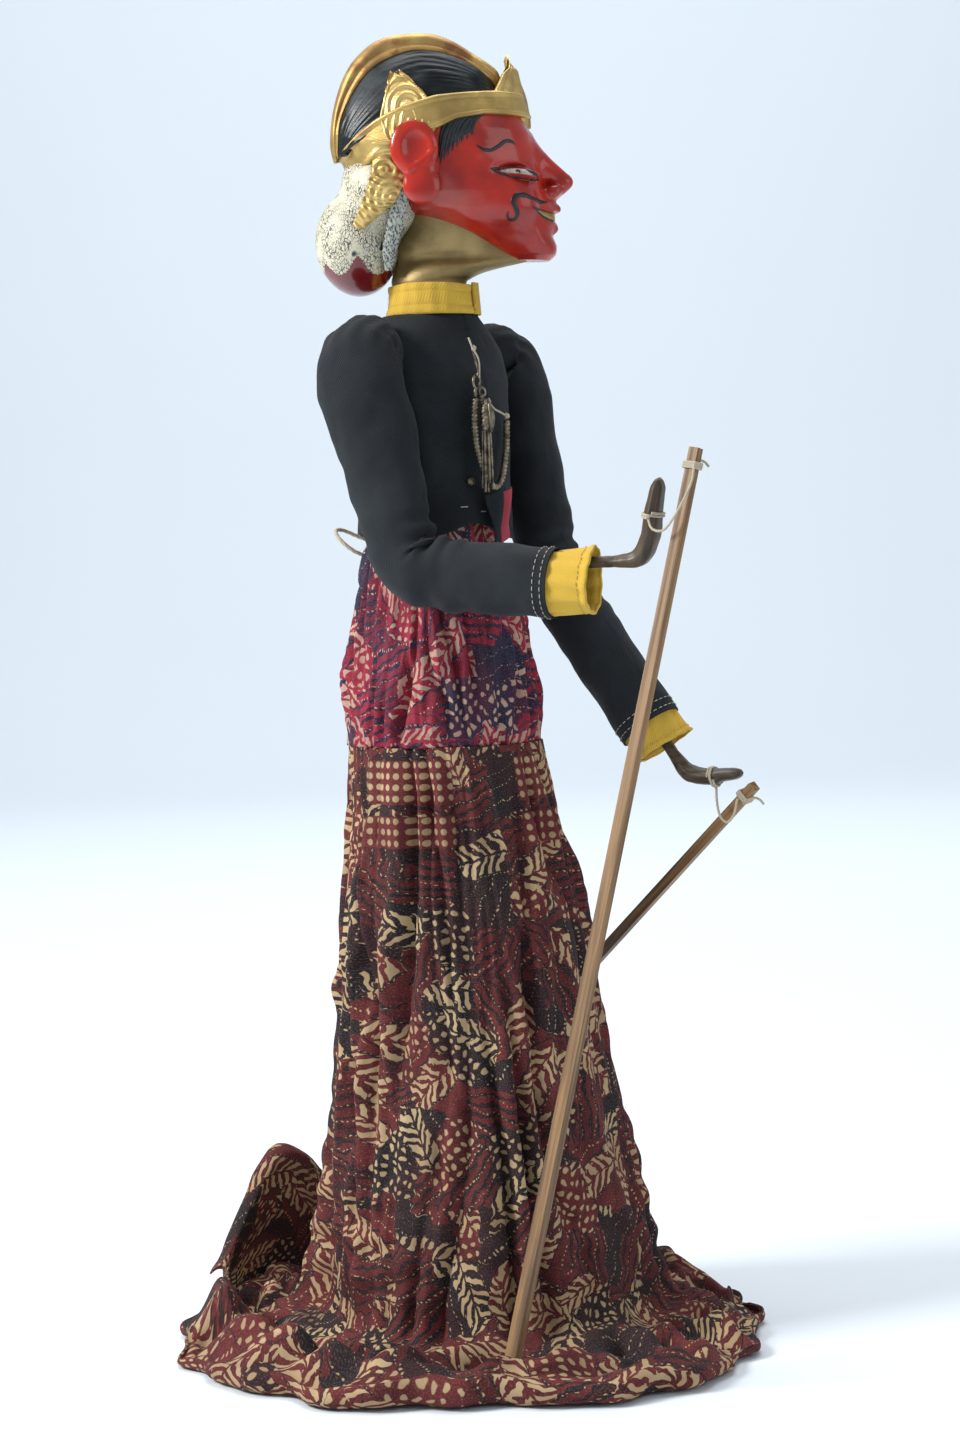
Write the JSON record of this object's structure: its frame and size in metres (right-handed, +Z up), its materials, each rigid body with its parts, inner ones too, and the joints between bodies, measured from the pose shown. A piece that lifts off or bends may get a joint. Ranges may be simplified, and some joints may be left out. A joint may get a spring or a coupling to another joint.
{
  "type": "rod puppet",
  "caption": "Carved wooden rod puppet with a turning lacquered head, jointed arms worked by thin rods, a cotton jacket and a long batik skirt that pools on the floor",
  "frame": {"origin": "Centre of the bottom face of the hidden wooden stand, on the surface that the puppet stands on, on the axis of the central rod", "axes": "+Z up along the central rod; the torso faces -Y and the puppet's own right is at -X; the head is turned about 35 degrees towards +X"},
  "size_m": [0.3485, 0.3647, 0.659],
  "materials": {
    "pale_wood": "matte",
    "bamboo": "satin",
    "washer_leather": "matte",
    "red_lacquer": "gloss",
    "gold_paint": "satin",
    "dark_wood": "satin",
    "string": "matte",
    "black_twill": "matte",
    "yellow_cotton": "matte",
    "batik_crimson": "matte",
    "batik_red": "matte",
    "red_lining": "matte",
    "old_metal": "satin"
  },
  "bodies": {
    "base": {"stand_base": "pale_wood", "skirt_lower": "batik_red", "skirt_pool": "batik_red", "hem_fold": "batik_red"},
    "head_rod": {"central_rod": "pale_wood", "rod_stop_peg": "bamboo", "head": "red_lacquer", "headdress": "gold_paint"},
    "washer": {"torso_washer": "washer_leather"},
    "torso": {"torso": "pale_wood", "jacket_body": "black_twill", "collar": "yellow_cotton", "skirt_upper": "batik_crimson", "sash_flap": "red_lining", "waist_cord": "string", "chest_ring": "old_metal", "tassel_charm": "old_metal", "press_stud": "old_metal", "chain_long": "old_metal", "chain_short": "old_metal"},
    "shoulder_link_R": {"shoulder_cord_R": "string"},
    "upper_arm_R": {"upper_arm_R": "dark_wood", "elbow_cord_R": "string", "sleeve_upper_R": "black_twill"},
    "forearm_R": {"forearm_hand_R": "dark_wood", "sleeve_lower_R": "black_twill", "cuff_R": "yellow_cotton"},
    "string_R": {"hand_string_R": "string"},
    "arm_rod_R": {"arm_rod_R": "bamboo", "rod_wrap_R": "string"},
    "shoulder_link_L": {"shoulder_cord_L": "string"},
    "upper_arm_L": {"upper_arm_L": "dark_wood", "elbow_cord_L": "string", "sleeve_upper_L": "black_twill"},
    "forearm_L": {"forearm_hand_L": "dark_wood", "sleeve_lower_L": "black_twill", "cuff_L": "yellow_cotton"},
    "string_L": {"hand_string_L": "string"},
    "arm_rod_L": {"arm_rod_L": "bamboo", "rod_wrap_L": "string"}
  },
  "joints": [
    {"name": "head_turn", "type": "hinge", "parent": "base", "child": "head_rod", "pos_m": [0, 0, 0.0043], "axis": [0, 0, 1], "range_deg": [-60, 60]},
    {"name": "torso_turn", "type": "hinge", "parent": "base", "child": "washer", "pos_m": [0, 0, 0.371], "axis": [0, 0, 1], "range_deg": [-20, 20]},
    {"name": "torso_lift", "type": "slide", "parent": "washer", "child": "torso", "axis": [0, 0, 1], "range_m": [0, 0.005]},
    {"name": "shoulder_swing_R", "type": "hinge", "parent": "torso", "child": "shoulder_link_R", "pos_m": [-0.05556, 0.01002, 0.5], "axis": [-0.9921, 0.1253, 0], "range_deg": [0, 50]},
    {"name": "shoulder_raise_R", "type": "hinge", "parent": "shoulder_link_R", "child": "upper_arm_R", "pos_m": [-0.05556, 0.01002, 0.5], "axis": [0.1253, 0.9921, 0], "range_deg": [0, 35]},
    {"name": "elbow_R", "type": "hinge", "parent": "upper_arm_R", "child": "forearm_R", "pos_m": [-0.057, -0.0205, 0.389], "axis": [-0.9732, -0.2181, 0.0726], "range_deg": [0, 25]},
    {"name": "string_swing_R", "type": "hinge", "parent": "forearm_R", "child": "string_R", "pos_m": [-0.0378, -0.1465, 0.4125], "axis": [0, 0, 1], "range_deg": [-15, 15]},
    {"name": "arm_rod_tilt_R", "type": "hinge", "parent": "string_R", "child": "arm_rod_R", "pos_m": [-0.0312, -0.1691, 0.4361], "axis": [-1, 0, 0], "range_deg": [0, 30]},
    {"name": "shoulder_swing_L", "type": "hinge", "parent": "torso", "child": "shoulder_link_L", "pos_m": [0.05556, -0.00402, 0.5], "axis": [-0.9921, 0.1253, 0], "range_deg": [0, 50]},
    {"name": "shoulder_raise_L", "type": "hinge", "parent": "shoulder_link_L", "child": "upper_arm_L", "pos_m": [0.05556, -0.00402, 0.5], "axis": [-0.1253, -0.9921, 0], "range_deg": [0, 35]},
    {"name": "elbow_L", "type": "hinge", "parent": "upper_arm_L", "child": "forearm_L", "pos_m": [0.056, -0.031, 0.3835], "axis": [-0.9917, -0.126, 0.0254], "range_deg": [0, 50]},
    {"name": "string_swing_L", "type": "hinge", "parent": "forearm_L", "child": "string_L", "pos_m": [0.0655, -0.1205, 0.2755], "axis": [0, 0, 1], "range_deg": [-15, 15]},
    {"name": "arm_rod_tilt_L", "type": "hinge", "parent": "string_L", "child": "arm_rod_L", "pos_m": [0.0638, -0.1335, 0.2699], "axis": [1, 0, 0], "range_deg": [0, 30]}
  ]
}
